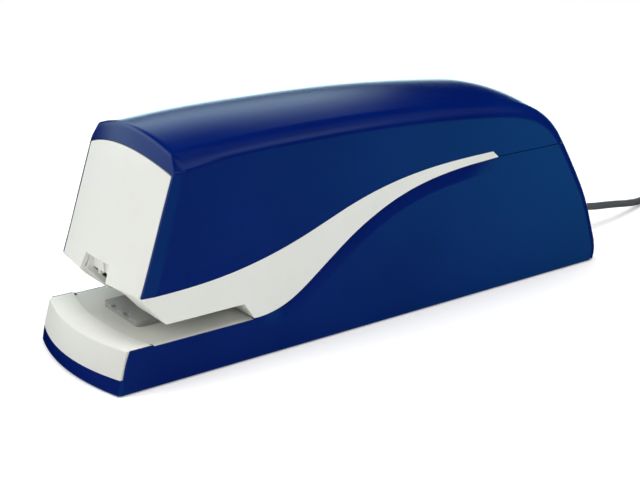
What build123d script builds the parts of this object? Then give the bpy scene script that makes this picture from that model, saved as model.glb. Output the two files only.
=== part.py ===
from build123d import *
import os
from math import acos, asin, cos, degrees, pi, radians, sin, sqrt, tan

# Electric desktop stapler. Millimetres, +Z up, the front faces -Y, the origin is on the ground under
# the middle of the case. Distances along the stapler are given from its front corners ("stations").

# ---- case ----
origin_station = 117.0
body_width = 62.0
side_length = 235.4
shoulder_height = 81.2
crown_rise = 5.9
rear_bulge = 2.4
wall = 2.2
toe_height = wall + 0.3
bevel_width = 0.6
shoulder_drop = 1.4
case_bottom = 0.5
part_gap = 0.3

# ---- base and throat ----
lip_height = 5.9
deck_height = 15.9
deck_thickness = 2.0
deck_length = 62.0
deck_inset = 0.6
step_radius = 106.0
step_station = 9.3
step_depth = 0.6
jaw_height = 22.2
jaw_floor = 2.0
jaw_nose = 19.4
throat_end = 51.0
throat_back = 55.0
head_foot = 33.1

# ---- front plate ----
plate_half = 29.4
plate_shoulder = 73.2
plate_crown = 77.9
plate_thickness = 2.2
notch_top = 39.0
notch_half_bottom = 10.0
notch_half_top = 8.7

# ---- staples and driver ----
staple_half = 6.5
staple_wire = 0.5
staple_leg = 6.2
strip_front = 18.9
strip_length = 41.8
anvil_half = 13.0
anvil_front = 17.6
anvil_depth = 11.0
anvil_top = 17.5
groove_middle = 4.6
groove_length = 4.4
driver_station = 18.0
driver_travel = 13.5
blade_thickness = 0.8

# ---- gear train ----
gear_module = 1.0
main_teeth = 44
small_teeth = 12
wheel_teeth = 36
motor_teeth = 10
pressure_angle = radians(20)
tooth_backlash = 0.10
main_centre = (91.0, 57.0)
idler_drop = 3.9
motor_angle = radians(-50)
main_shaft_radius = 3.0
idler_shaft_radius = 2.0
running_clearance = 0.05
plate_inside = 20.0
plate_metal = 1.5
lever_metal = 3.0
lever_pivot = (165.0, 60.0)
lever_pin_radius = 2.5
nose_pin = (21.5, 53.0)
eccentric_radius = 7.0
eccentric_slack = 1.0

# ---- lead ----
lead_radius = 1.75
lead_length = 1500.0
jack_height = 13.0
coil_radius = 18.35
coil_layers = 4
coil_rows = 3
coil_centre = (0.0, 352.0)

os.makedirs("parts", exist_ok=True)
half_width = body_width / 2
top_shift = shoulder_height - 81.2


def at(station):
    """Turn a distance behind the front corners into a Y in the part's frame."""
    return station - origin_station


def shifted(points):
    return [(at(y), z) for y, z in points]


def save(part, name):
    part.part.label = name
    export_step(part.part, "parts/" + name + ".step")
    print(name, round(part.part.volume, 1), len(part.part.solids()))


def block(x0, x1, y0, y1, z0, z1, mode=Mode.ADD):
    """A box between limits: X, stations and Z."""
    with Locations(((x0 + x1) / 2, at((y0 + y1) / 2), (z0 + z1) / 2)):
        Box(abs(x1 - x0), abs(y1 - y0), abs(z1 - z0), mode=mode)


def rod_x(x0, x1, station, z, radius, mode=Mode.ADD):
    with Locations(Location(((x0 + x1) / 2, at(station), z), (0, 90, 0))):
        Cylinder(radius, abs(x1 - x0), mode=mode)


def rod_y(x, y0, y1, z, radius, mode=Mode.ADD):
    with Locations(Location((x, at((y0 + y1) / 2), z), (90, 0, 0))):
        Cylinder(radius, abs(y1 - y0), mode=mode)


def rod_z(x, station, z0, z1, radius, mode=Mode.ADD):
    with Locations((x, at(station), (z0 + z1) / 2)):
        Cylinder(radius, abs(z1 - z0), mode=mode)


def slab_x(points, x0, x1):
    """A side-view outline, in stations and heights, extruded from x0 to x1."""
    with BuildPart(mode=Mode.PRIVATE) as slab:
        with BuildSketch(Plane.YZ.offset(x0)):
            with BuildLine():
                Polyline(*shifted(points), close=True)
            make_face()
        extrude(amount=x1 - x0)
    return slab.part


# ---- outer form: one skin that every case part is cut from ----
# Side outline at the widest section and at the centre plane, front foot first, clockwise.
crest_side = (26.8, shoulder_height - 2.2)
crest_centre = (25.3, shoulder_height - 2.2 + crown_rise)
front_side = [(0.2, 0.0), (1.5, lip_height), (4.5, deck_height), (11.0, head_foot),
              ((11.0 + crest_side[0]) / 2, (head_foot + crest_side[1]) / 2), crest_side]
front_centre = [(-4.56, 0.0), (-4.3, lip_height), (-1.0, deck_height), (7.2, head_foot),
                ((7.2 + crest_centre[0]) / 2, (head_foot + crest_centre[1]) / 2), crest_centre]
top_drops = [(50, 0.6), (75, 0.0), (100, 0.0), (140, 1.4), (167, 3.6), (183, 5.9)]
rear_side = [(42.4, 72.4), (34.4, 68.0), (28.9, 63.2), (24.1, 57.0), (17.2, 46.5), (6.8, 27.9),
             (1.6, 14.0), (-0.6, toe_height), (0.0, 0.0)]
rear_out = [(1.0, 5.3), (2.2, 4.6), (3.0, 3.6), (3.3, 2.8), (3.0, 1.8), (2.6, 0.8), (rear_bulge, 0.3),
            (rear_bulge, 0.0), (rear_bulge, 0.0)]
edge_setback = [1.0, 0.6, 0.5, 5.0, 4.1, 2.8]


def side_points():
    top = [(y, shoulder_height - drop) for y, drop in top_drops]
    rear = [(side_length - back, z + top_shift * z / 75) for back, z in rear_side]
    return front_side + top + rear


def centre_points():
    top = [(y, shoulder_height - drop + crown_rise) for y, drop in top_drops]
    side = [(side_length - back, z + top_shift * z / 75) for back, z in rear_side]
    rear = [(y + out, z + up) for (y, z), (out, up) in zip(side, rear_out)]
    return front_centre + top + rear


def inward(points, distance):
    """Move a clockwise outline inwards by the same distance all round."""
    moved = []
    for before, here, after in zip(points[-1:] + points[:-1], points, points[1:] + points[:1]):
        arriving = (Vector(here) - Vector(before)).normalized()
        leaving = (Vector(after) - Vector(here)).normalized()
        first = Vector(arriving.Y, -arriving.X)
        second = Vector(leaving.Y, -leaving.X)
        middle = (first + second).normalized()
        step = middle * (distance / middle.dot(first))
        moved.append((here[0] + step.X, here[1] + step.Y))
    return moved


def section(x, points):
    corner = len(front_side) - 1
    places = shifted(points)
    with BuildSketch(Plane.YZ.offset(x), mode=Mode.PRIVATE) as face:
        with BuildLine():
            Spline(*places[:corner + 1])
            Spline(*places[corner:])
            Line(places[-1], places[0])
        make_face()
    return face.sketch


def outer_form(inset):
    """The whole stapler's form, its surface moved in by an inset, with bevelled long edges."""
    half = half_width - inset
    flat = half - bevel_width

    def outline(x):
        share = 1 - (x / half) ** 2
        mixed = [(a[0] + (b[0] - a[0]) * share, a[1] + (b[1] - a[1]) * share)
                 for a, b in zip(side_points(), centre_points())]
        return inward(mixed, inset) if inset else mixed

    def edge():
        widest = outline(half)
        dropped = inward(widest, shoulder_drop)
        front = [(y + back, z) for (y, z), back in zip(widest, edge_setback)]
        front[-1] = (front[-1][0], front[-1][1] - shoulder_drop)
        rear = dropped[len(front):-1] + [(dropped[-1][0], widest[-1][1])]
        return front + rear

    with BuildPart(mode=Mode.PRIVATE) as form:
        loft(sections=[section(x, outline(x)) for x in (-flat, -flat / 2, 0, flat / 2, flat)])
        for side in (-1, 1):
            loft(sections=[section(side * flat, outline(flat)), section(side * half, edge())], ruled=True)
    return form.part


outer = outer_form(0)
inner = outer_form(wall)
skin = outer - inner
front_slab = outer - Pos(0, plate_thickness, 0) * outer

# The white band's edges run back from the jaw as two long S curves and meet at a slanted tip.
band_upper = [(10.2, 33.1), (25.2, 33.3), (42.5, 34.6), (60.7, 37.9), (79.6, 43.5), (99.3, 50.6),
              (119.8, 55.8), (141.3, 58.5), (169.3, 59.5)]
band_lower = [(55.0, 15.9), (62.2, 16.4), (69.8, 18.8), (79.5, 24.6), (89.4, 31.8), (99.4, 38.7),
              (109.6, 44.4), (120.0, 48.9), (130.6, 52.1), (152.7, 55.6), (172.4, 56.8)]
parting_rear = (260.0, 57.2)
far = 300.0
reach = 45.0


def case_region(build_outline):
    with BuildPart(mode=Mode.PRIVATE) as region:
        with BuildSketch(Plane.YZ):
            with BuildLine():
                build_outline()
            make_face()
        extrude(amount=reach, both=True)
    return region.part


def top_outline():
    upper = shifted(band_upper)
    tip = shifted([band_lower[-1]])[0]
    end = shifted([parting_rear])[0]
    Spline(*upper)
    Polyline(upper[-1], tip, end, (end[0], far), (at(-40), far), (at(-40), head_foot), upper[0])


def base_outline():
    lower = [(y, z - part_gap) for y, z in shifted(band_lower)]
    lower[0] = (at(throat_back), deck_height)
    end = (at(parting_rear[0]), parting_rear[1] - part_gap)
    Spline(*lower)
    Polyline(lower[-1], end, (end[0], case_bottom), (at(-40), case_bottom), (at(-40), deck_height), lower[0])


def band_outline():
    upper = shifted(band_upper)
    lower = shifted(band_lower)
    Spline(*upper)
    Line(upper[-1], lower[-1])
    Spline(*lower)
    Polyline(lower[0], (at(throat_end), jaw_height), (at(jaw_nose), jaw_height), upper[0])


plate_outline_gap = 0.25


def plate_prism(grow):
    with BuildPart(mode=Mode.PRIVATE) as prism:
        with BuildSketch(Plane.XZ):
            half = plate_half + grow
            with BuildLine():
                top = plate_shoulder + grow
                ThreePointArc((-half, top), (0, plate_crown + grow), (half, top))
                Polyline((half, top), (half, head_foot - grow), (-half, head_foot - grow), (-half, top))
            make_face()
        extrude(amount=far, both=True)
    return prism.part


# ---- top cover ----
screw_places = [(24.3, 68.0), (24.3, 200.0)]
post_radius = 3.5
post_foot = 14.0
with BuildPart() as top_cover:
    add(skin)
    add(case_region(top_outline), mode=Mode.INTERSECT)
    opening = (outer - Pos(0, plate_thickness + 0.6, 0) * outer) & plate_prism(plate_outline_gap)
    add(opening, mode=Mode.SUBTRACT)
    for x, station in screw_places:
        for side in (-1, 1):
            with BuildPart(mode=Mode.PRIVATE) as post:
                rod_z(side * x, station, post_foot, far, post_radius)
                add(inner, mode=Mode.INTERSECT)
                rod_z(side * x, station, post_foot, post_foot + 12, 1.5, Mode.SUBTRACT)
            add(post.part)
save(top_cover, "top_cover")

# ---- front cover ----
with BuildPart() as front_cover:
    add(front_slab & plate_prism(0))
    with BuildSketch(Plane.XZ.offset(-at(-30))) as notch:
        Polygon((-notch_half_bottom, head_foot - 1), (notch_half_bottom, head_foot - 1),
                (notch_half_top, notch_top), (-notch_half_top, notch_top), align=None)
    extrude(amount=-60, mode=Mode.SUBTRACT)
save(front_cover, "front_cover")

# ---- base plate: front slope and deck ----
with BuildPart() as base_plate:
    add(skin)
    with BuildPart(mode=Mode.PRIVATE) as slope_zone:
        block(-half_width + deck_inset, half_width - deck_inset, -10, 12, lip_height, deck_height)
    add(slope_zone.part, mode=Mode.INTERSECT)
    with BuildPart(mode=Mode.PRIVATE) as deck:
        block(-half_width + deck_inset, half_width - deck_inset, -10, deck_length,
              deck_height - deck_thickness, deck_height)
        add(outer, mode=Mode.INTERSECT)
        rod_z(0, step_station + step_radius, deck_height - step_depth, deck_height + 1, step_radius,
              Mode.SUBTRACT)
    add(deck.part)
save(base_plate, "base_plate")

# ---- anvil with two clinching grooves ----
deck_floor = deck_height - step_depth
with BuildPart() as anvil:
    block(-anvil_half, anvil_half, anvil_front, anvil_front + anvil_depth, deck_floor, anvil_top)
    front_edges = anvil.edges().filter_by(Axis.Z).sort_by(Axis.Y)[:2]
    fillet(front_edges, radius=1.6)
    for side in (-1, 1):
        with Locations((side * groove_middle, at(driver_station), anvil_top)):
            Box(groove_length, 2.2, 1.8, mode=Mode.SUBTRACT)
save(anvil, "anvil")

# ---- lower shell, split on the centre plane ----
foot_places = [(22.0, 16.0), (22.0, 216.0)]
foot_radius = 6.0
foot_recess = 0.7
chassis_screw_places = [(24.3, 88.0), (24.3, 168.0)]
board_post_places = [(14.0, 158.0), (14.0, 206.0)]
board_bottom = 7.0
button_station = 124.0
button_height = 30.0
button_long = 7.0
button_tall = 3.6
button_gap = 0.3
jack_half = 4.6
with BuildPart() as lower_shell:
    add(skin)
    add(case_region(base_outline), mode=Mode.INTERSECT)
    add(base_plate.part, mode=Mode.SUBTRACT)
    for x, station in screw_places:
        for side in (-1, 1):
            rod_z(side * x, station, wall, post_foot, post_radius)
            rod_z(side * x, station, 0, post_foot, 1.6, Mode.SUBTRACT)
            rod_z(side * x, station, 0, 2.0, 3.2, Mode.SUBTRACT)
    for x, station in board_post_places:
        for side in (-1, 1):
            rod_z(side * x, station, wall, board_bottom, 2.5)
    for x, station in foot_places:
        for side in (-1, 1):
            rod_z(side * x, station, 0, case_bottom + foot_recess, foot_radius, Mode.SUBTRACT)
    for x, station in chassis_screw_places:
        for side in (-1, 1):
            rod_z(side * x, station, 1.3, wall + 1, 1.3, Mode.SUBTRACT)
    block(-jack_half, jack_half, side_length - 8, side_length + 12, jack_height - jack_half,
          jack_height + jack_half, Mode.SUBTRACT)

button_hole = slab_x([(button_station - button_long - button_gap, button_height - button_tall - button_gap),
                      (button_station + button_long + button_gap, button_height - button_tall - button_gap),
                      (button_station + button_long + button_gap, button_height + button_tall + button_gap),
                      (button_station - button_long - button_gap, button_height + button_tall + button_gap)],
                     -half_width - 2, -half_width + wall + 2)

for side, name in ((-1, "base_shell_left"), (1, "base_shell_right")):
    with BuildPart() as shell_half:
        add(lower_shell.part)
        with Locations((side * reach / 2, 0, 50)):
            Box(reach, 2 * far, 2 * far, mode=Mode.INTERSECT)
        if side < 0:
            add(button_hole, mode=Mode.SUBTRACT)
    save(shell_half, name)

# ---- inner housing: bands on both sides, chin, jaw underside, throat end ----
trigger_x = 14.0
rib_inside = 8.1
rib_outside = 10.2
jaw_top = jaw_height + jaw_floor
with BuildPart() as inner_housing:
    add(skin)
    add(case_region(band_outline), mode=Mode.INTERSECT)
    with BuildPart(mode=Mode.PRIVATE) as bridge:
        add(slab_x([(10.2, head_foot), (jaw_nose, jaw_height), (throat_end, jaw_height),
                    (throat_back, deck_height), (throat_back + 2.4, deck_height),
                    (throat_end + 1.4, jaw_top), (jaw_nose + 0.9, jaw_top), (12.7, head_foot)],
                   -half_width, half_width))
        add(outer, mode=Mode.INTERSECT)
    add(bridge.part)
    block(-10.6, 10.6, 5, 21, jaw_height - 1, head_foot + 1, Mode.SUBTRACT)
    block(trigger_x - 2.1, trigger_x + 2.1, 44, 51.6, jaw_height - 1, jaw_top + 1, Mode.SUBTRACT)
    for side in (-1, 1):
        block(side * rib_inside, side * rib_outside, 21.2, 27, jaw_top - 0.5, 57)
save(inner_housing, "inner_housing")

# ---- magazine drawer ----
channel_bottom = 24.7
channel_metal = 0.8
channel_inside = 6.6
channel_end = 114.0
crown_under = channel_bottom + channel_metal + staple_leg - staple_wire + 0.1
rod_height = 28.4
rod_radius = 1.2
with BuildPart() as magazine_channel:
    outside = channel_inside + channel_metal
    block(-outside, outside, strip_front, channel_end, channel_bottom, 33.6)
    block(-channel_inside, channel_inside, strip_front - 1, channel_end - 2,
          channel_bottom + channel_metal, 40, Mode.SUBTRACT)
    rod_y(0, channel_end - 3, channel_end + 1, rod_height, rod_radius, Mode.SUBTRACT)
    block(-outside - 1, -channel_inside + 0.1, 98.5, 102.5, 27.5, 33, Mode.SUBTRACT)
save(magazine_channel, "magazine_channel")

# The rail carries the staples' crowns; its open middle holds the pusher's rod and spring.
rail_half = staple_half - staple_wire - 0.3
rail_slot = 2.6
rail_nose = 3.0
with BuildPart() as magazine_rail:
    block(-rail_half, rail_half, strip_front, channel_end - 2, channel_bottom + channel_metal, crown_under)
    block(-rail_slot, rail_slot, strip_front + rail_nose, channel_end, channel_bottom, crown_under + 1,
          Mode.SUBTRACT)
    rod_y(0, strip_front + 1, strip_front + rail_nose + 1, rod_height, rod_radius, Mode.SUBTRACT)
save(magazine_rail, "magazine_rail")

with BuildPart() as staple_strip:
    block(-staple_half, staple_half, strip_front, strip_front + strip_length,
          channel_bottom + channel_metal + 0.05, crown_under + staple_wire)
    block(-staple_half + staple_wire, staple_half - staple_wire, strip_front - 1,
          strip_front + strip_length + 1, channel_bottom, crown_under, Mode.SUBTRACT)
save(staple_strip, "staple_strip")

pusher_front = strip_front + strip_length + 0.3
pusher_length = 12.0
pusher_cap = crown_under + 0.15
with BuildPart() as pusher:
    block(-channel_inside + 0.3, channel_inside - 0.3, pusher_front, pusher_front + pusher_length,
          pusher_cap, crown_under + staple_wire + 0.3)
    block(-rail_slot + 0.3, rail_slot - 0.3, pusher_front, pusher_front + pusher_length,
          channel_bottom + channel_metal + 0.3, pusher_cap)
    rod_y(0, pusher_front - 1, pusher_front + pusher_length + 1, rod_height, rod_radius + running_clearance,
          Mode.SUBTRACT)
save(pusher, "pusher")

with BuildPart() as pusher_rod:
    rod_y(0, strip_front + 1, channel_end, rod_height, rod_radius)
save(pusher_rod, "pusher_rod")


def coil_spring(name, start, direction, coil_middle, wire, pitch, length):
    """A compression spring wound on a helix about a straight axis."""
    with BuildPart() as spring:
        with BuildLine() as path:
            Helix(pitch, length, coil_middle, center=start, direction=direction)
        with BuildSketch(Plane(origin=path.line @ 0, z_dir=path.line % 0)):
            Circle(wire / 2)
        sweep(path=path.line, is_frenet=True)
    save(spring, name)


spring_start = pusher_front + pusher_length + 0.8
coil_spring("pusher_spring", (0, at(spring_start), rod_height), (0, 1, 0), 1.9, 0.5, 2.8,
            channel_end - 2 - spring_start - 0.6)

nose_half = 9.5
nose_back = 16.4
with BuildPart() as magazine_nose:
    block(-nose_half, nose_half, 9, nose_back, head_foot, 46)
    add(Pos(0, plate_thickness, 0) * outer, mode=Mode.INTERSECT)
    block(-nose_half + 0.9, nose_half - 0.9, 0, 12.6, 24, 41.2, Mode.SUBTRACT)
    block(-0.7, 0.7, 0, 15, 33, 42, Mode.SUBTRACT)
    for side in (-1, 1):
        block(side * outside, side * nose_half, nose_back - 2, 20.8, 30, 35.5)
save(magazine_nose, "magazine_nose")

# ---- magazine guide ----
with BuildPart() as magazine_guide:
    block(-plate_inside, plate_inside, 58, 116, 22.9, 24.4)
    for side in (-1, 1):
        block(side * 7.7, side * 9.5, 58, 116, 24.4, 33)
    block(-9.6, -7.6, 97, 104, 27, 34, Mode.SUBTRACT)
save(magazine_guide, "magazine_guide")

# ---- chassis ----
idler_distance = gear_module * (main_teeth + small_teeth) / 2
idler_centre = (main_centre[0] + sqrt(idler_distance ** 2 - idler_drop ** 2), main_centre[1] - idler_drop)
motor_distance = gear_module * (wheel_teeth + motor_teeth) / 2
motor_centre = (idler_centre[0] + motor_distance * cos(motor_angle),
                idler_centre[1] + motor_distance * sin(motor_angle))
plate_outside = plate_inside + plate_metal
motor_screw_turn = motor_angle + pi / 2
motor_screw_places = [(motor_centre[0] + sign * 9.4 * cos(motor_screw_turn),
                       motor_centre[1] + sign * 9.4 * sin(motor_screw_turn)) for sign in (-1, 1)]
spacer_places = [(84.0, 12.0), (170.0, 14.0), (172.0, 46.0)]
chassis_outline = [(80, wall), (176, wall), (176, 58), (162, 70), (80, 72), (76, 60), (76, 40), (80, 34)]
pinion_hole_radius = 6.6
stem_half = 2.2
stem_window = 2.7


def chassis_plate(side, name):
    low = side * plate_inside if side > 0 else -plate_outside
    with BuildPart() as plate:
        add(slab_x(chassis_outline, low, low + plate_metal))
        block(side * plate_outside, side * 27.4, 80, 176, wall, wall + plate_metal)
        for station, z in spacer_places:
            rod_x(low - 1, low + plate_metal + 1, station, z, 1.6, Mode.SUBTRACT)
        rod_x(low - 1, low + 3, *main_centre, main_shaft_radius + running_clearance, Mode.SUBTRACT)
        rod_x(low - 1, low + 3, *lever_pivot, lever_pin_radius, Mode.SUBTRACT)
        for x, station in chassis_screw_places:
            rod_z(side * x, station, 0, 6, 1.3, Mode.SUBTRACT)
        if side > 0:
            rod_x(low - 1, low + 3, *idler_centre, idler_shaft_radius + running_clearance, Mode.SUBTRACT)
            rod_x(low - 1, low + 3, *motor_centre, pinion_hole_radius, Mode.SUBTRACT)
            for station, z in motor_screw_places:
                rod_x(low - 1, low + 3, station, z, 1.25, Mode.SUBTRACT)
        else:
            block(low - 1, low + 3, button_station - stem_window, button_station + stem_window,
                  button_height - stem_window, button_height + stem_window, Mode.SUBTRACT)
    save(plate, name)


chassis_plate(-1, "chassis_left")
chassis_plate(1, "chassis_right")

with BuildPart() as chassis_spacers:
    for station, z in spacer_places:
        rod_x(-plate_inside, plate_inside, station, z, 3.0)
        rod_x(-plate_outside - 0.8, plate_outside + 0.8, station, z, 1.6)
save(chassis_spacers, "chassis_spacers")

# ---- gears ----


def involute(angle):
    return tan(angle) - angle


def gear_face(centre, teeth, addendum, phase):
    """A spur gear's outline: involute flanks between root and tip, one tooth centred on the phase."""
    pitch_radius = gear_module * teeth / 2
    base_radius = pitch_radius * cos(pressure_angle)
    tip_radius = pitch_radius + addendum * gear_module
    root_radius = pitch_radius - 1.25 * gear_module
    half_at_pitch = pi / (2 * teeth) - tooth_backlash / (2 * pitch_radius)
    start = max(root_radius, base_radius)
    steps = 4
    flank = [root_radius] if root_radius < base_radius else []
    flank += [start + (tip_radius - start) * k / steps for k in range(steps + 1)]

    def half_angle(radius):
        if radius <= base_radius:
            return half_at_pitch + involute(pressure_angle)
        return half_at_pitch + involute(pressure_angle) - involute(acos(base_radius / radius))

    points = []
    for tooth in range(teeth):
        middle = phase + 2 * pi * tooth / teeth
        rising = [(radius, middle - half_angle(radius)) for radius in flank]
        falling = [(radius, middle + half_angle(radius)) for radius in reversed(flank)]
        points += [(at(centre[0]) + r * cos(a), centre[1] + r * sin(a)) for r, a in rising + falling]
    return points


def gear(x0, x1, centre, teeth, addendum, phase, bore):
    with BuildPart(mode=Mode.PRIVATE) as blank:
        with BuildSketch(Plane.YZ.offset(x0)):
            with BuildLine():
                Polyline(*gear_face(centre, teeth, addendum, phase), close=True)
            make_face()
        extrude(amount=x1 - x0)
        rod_x(x0 - 1, x1 + 1, centre[0], centre[1], bore, Mode.SUBTRACT)
    return blank.part


def meshed_phase(angle, teeth):
    """Phase that puts a gap towards a mate that has a tooth pointing back along the angle."""
    return angle + pi + pi / teeth


main_to_idler = -asin(idler_drop / idler_distance)
inner_gear_x = (11.0, 17.0)
outer_gear_x = (22.6, 26.4)
wheel_addendum = 0.75
with BuildPart() as main_gear:
    add(gear(*inner_gear_x, main_centre, main_teeth, wheel_addendum, main_to_idler, main_shaft_radius))
    rod_x(inner_gear_x[0] - 4, inner_gear_x[0], *main_centre, 7.0)
    rod_x(inner_gear_x[0] - 5, inner_gear_x[0] + 1, *main_centre, main_shaft_radius, Mode.SUBTRACT)
    for k in range(6):
        turn = k * pi / 3
        rod_x(10, 18, main_centre[0] + 13.5 * cos(turn), main_centre[1] + 13.5 * sin(turn), 3.6,
              Mode.SUBTRACT)
save(main_gear, "main_gear")

with BuildPart() as main_shaft:
    rod_x(-plate_outside - 1.5, plate_outside - 0.2, *main_centre, main_shaft_radius)
save(main_shaft, "main_shaft")

nose_arm = lever_pivot[0] - nose_pin[0]
crank_arm = lever_pivot[0] - main_centre[0]
throw = driver_travel / 2 * crank_arm / nose_arm
with BuildPart() as eccentric:
    rod_x(-lever_metal / 2, lever_metal / 2, main_centre[0], main_centre[1] + throw, eccentric_radius)
    for side in (-1, 1):
        rod_x(side * lever_metal / 2, side * (lever_metal / 2 + 2), *main_centre, 5.5)
    rod_x(-10, 10, *main_centre, main_shaft_radius, Mode.SUBTRACT)
save(eccentric, "eccentric")

with BuildPart() as idler_pinion:
    add(gear(inner_gear_x[0] - 0.5, inner_gear_x[1] + 0.5, idler_centre, small_teeth, 1.0,
             meshed_phase(main_to_idler, small_teeth), idler_shaft_radius))
save(idler_pinion, "idler_pinion")

wheel_to_motor = motor_angle
with BuildPart() as idler_wheel:
    add(gear(*outer_gear_x, idler_centre, wheel_teeth, 0.65, wheel_to_motor, idler_shaft_radius))
    for k in range(5):
        turn = k * 2 * pi / 5
        rod_x(22, 27, idler_centre[0] + 10.5 * cos(turn), idler_centre[1] + 10.5 * sin(turn), 3.2,
              Mode.SUBTRACT)
save(idler_wheel, "idler_wheel")

with BuildPart() as idler_shaft:
    rod_x(9.0, outer_gear_x[1] + 0.6, *idler_centre, idler_shaft_radius)
save(idler_shaft, "idler_shaft")

motor_shaft_radius = 1.15
with BuildPart() as motor_pinion:
    add(gear(outer_gear_x[0] - 0.3, outer_gear_x[1] + 0.3, motor_centre, motor_teeth, 1.0,
             meshed_phase(wheel_to_motor, motor_teeth), motor_shaft_radius))
    rod_x(12, outer_gear_x[1] + 0.3, *motor_centre, motor_shaft_radius)
save(motor_pinion, "motor_pinion")

can_radius = 13.7
with BuildPart() as motor:
    rod_x(-11, plate_inside, *motor_centre, can_radius)
    rod_x(-13.5, -11, *motor_centre, 5.0)
    rod_x(plate_inside, plate_inside + 1.2, *motor_centre, 5.0)
    rod_x(11, 30, *motor_centre, motor_shaft_radius + running_clearance, Mode.SUBTRACT)
    for station, z in motor_screw_places:
        rod_x(16, 30, station, z, 1.25, Mode.SUBTRACT)
    for side in (-1, 1):
        block(-30, 30, motor_centre[0] + side * 12.2, motor_centre[0] + side * 20, 0, 80, Mode.SUBTRACT)
save(motor, "motor")

with BuildPart() as motor_screws:
    for station, z in motor_screw_places:
        rod_x(17, plate_outside, station, z, 1.25)
        rod_x(plate_outside, plate_outside + 0.9, station, z, 2.2)
save(motor_screws, "motor_screws")

# ---- drive lever, its pivot and the driver ----
window_z = main_centre[1] + throw
window_half_tall = eccentric_radius + eccentric_slack
window_half_long = eccentric_radius + throw + 1.2
lever_outline = [(19.4, 50.6), (26, 50.6), (60, 53.5), (76, 49.6), (106, 49.6), (124, 55), (160, 55.2),
                 (168, 55.2), (171, 58), (171, 62), (168, 65), (124, 66), (106, 71.4), (76, 71.4),
                 (60, 64), (26, 55.6), (19.4, 55.4)]
with BuildPart() as drive_lever:
    add(slab_x(lever_outline, -lever_metal / 2, lever_metal / 2))
    block(-5, 5, main_centre[0] - window_half_long, main_centre[0] + window_half_long,
          window_z - window_half_tall, window_z + window_half_tall, Mode.SUBTRACT)
    rod_x(-6, 6, *lever_pivot, 5.0)
    rod_x(-7, 7, *lever_pivot, lever_pin_radius + running_clearance, Mode.SUBTRACT)
    block(-5, 5, nose_pin[0] - 3.2, nose_pin[0] + 2.6, nose_pin[1] - 1.5 - 0.35, nose_pin[1] + 1.5 + 0.35,
          Mode.SUBTRACT)
save(drive_lever, "drive_lever")

with BuildPart() as lever_pin:
    rod_x(-plate_outside - 1, plate_outside + 1, *lever_pivot, lever_pin_radius)
save(lever_pin, "lever_pin")

holder_half = rib_inside - 0.25
holder_front = driver_station + blade_thickness / 2
with BuildPart() as driver_holder:
    block(-holder_half, holder_half, holder_front, 24.6, 49.6, 56.2)
    block(-lever_metal / 2 - 0.4, lever_metal / 2 + 0.4, holder_front + 1.0, 25, 40, 60, Mode.SUBTRACT)
    rod_x(-holder_half - 1, holder_half + 1, *nose_pin, 1.5, Mode.SUBTRACT)
save(driver_holder, "driver_holder")

with BuildPart() as driver_pin:
    rod_x(-holder_half, holder_half, *nose_pin, 1.5)
save(driver_pin, "driver_pin")

with BuildPart() as driver_blade:
    block(-staple_half + 0.05, staple_half - 0.05, driver_station - blade_thickness / 2, holder_front,
          32.2, 54.0)
save(driver_blade, "driver_blade")

# ---- paper trigger and its switch ----
trigger_pivot = (49.0, 28.0)
trigger_pin_radius = 1.0
with BuildPart() as paper_trigger:
    add(slab_x([(46.2, 16.6), (47.8, 16.6), (50.6, 26.2), (51.2, 28.6), (57.6, 30.2), (57.6, 32.0),
                (49.0, 30.6), (46.8, 28.4), (46.9, 26.0), (45.6, 18.0)], trigger_x - 1.5, trigger_x + 1.5))
    rod_x(trigger_x - 2.6, trigger_x + 2.6, *trigger_pivot, trigger_pin_radius + running_clearance,
          Mode.SUBTRACT)
save(paper_trigger, "paper_trigger")

with BuildPart() as trigger_pin:
    rod_x(trigger_x - 3.4, trigger_x + 3.4, *trigger_pivot, trigger_pin_radius)
    for side in (-1, 1):
        block(trigger_x + side * 2.2, trigger_x + side * 3.4, 48.2, 49.8, jaw_top, 29.4)
save(trigger_pin, "trigger_pin")

with BuildPart() as microswitch:
    block(11.0, 17.4, 60, 80, 24.4, 34)
    block(12.6, 15.6, 58.4, 60, 29.6, 31.4)
    for k in range(3):
        block(13.4, 15.0, 80, 83.2, 26 + 2.6 * k, 26.6 + 2.6 * k)
save(microswitch, "microswitch")

# ---- release button and latch ----
latch_pivot = (-14.0, 112.0)
button_stroke = 2.5
latch_arm = button_station - latch_pivot[1]
cap_back = -half_width + wall + 2.6
with BuildPart() as release_button:
    block(-half_width, cap_back, button_station - button_long, button_station + button_long,
          button_height - button_tall, button_height + button_tall)
    block(cap_back, -19.3, button_station - stem_half, button_station + stem_half,
          button_height - stem_half, button_height + stem_half)
save(release_button, "release_button")

with BuildPart() as latch:
    with BuildSketch(Plane.XY.offset(28.4)):
        with BuildLine():
            Polyline((-18.6, at(126.5)), (-16.4, at(126.5)), (-15.8, at(121)), (-11.2, at(112)),
                     (-11.2, at(104)), (-7.7, at(101.8)), (-7.7, at(99.2)), (-13.6, at(99.2)),
                     (-16.8, at(112)), (-18.6, at(121)), close=True)
        make_face()
    extrude(amount=3.2)
    rod_z(latch_pivot[0], latch_pivot[1], 20, 40, 1.2 + running_clearance, Mode.SUBTRACT)
save(latch, "latch")

with BuildPart() as latch_pin:
    rod_z(latch_pivot[0], latch_pivot[1], 24.4, 33, 1.2)
save(latch_pin, "latch_pin")

coil_spring("button_spring", (cap_back + 0.35, at(button_station), button_height), (1, 0, 0), 3.5, 0.5, 1.3,
            -plate_outside - cap_back - 0.7)

# ---- electronics ----
board_half = 18.0
board_top = board_bottom + 1.6
with BuildPart() as circuit_board:
    block(-board_half, board_half, 150, 226, board_bottom, board_top)
save(circuit_board, "circuit_board")

with BuildPart() as capacitors:
    for x, station in ((-9.0, 196.0), (4.0, 196.0)):
        rod_z(x, station, board_top, board_top + 20, 5.0)
save(capacitors, "capacitors")

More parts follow.
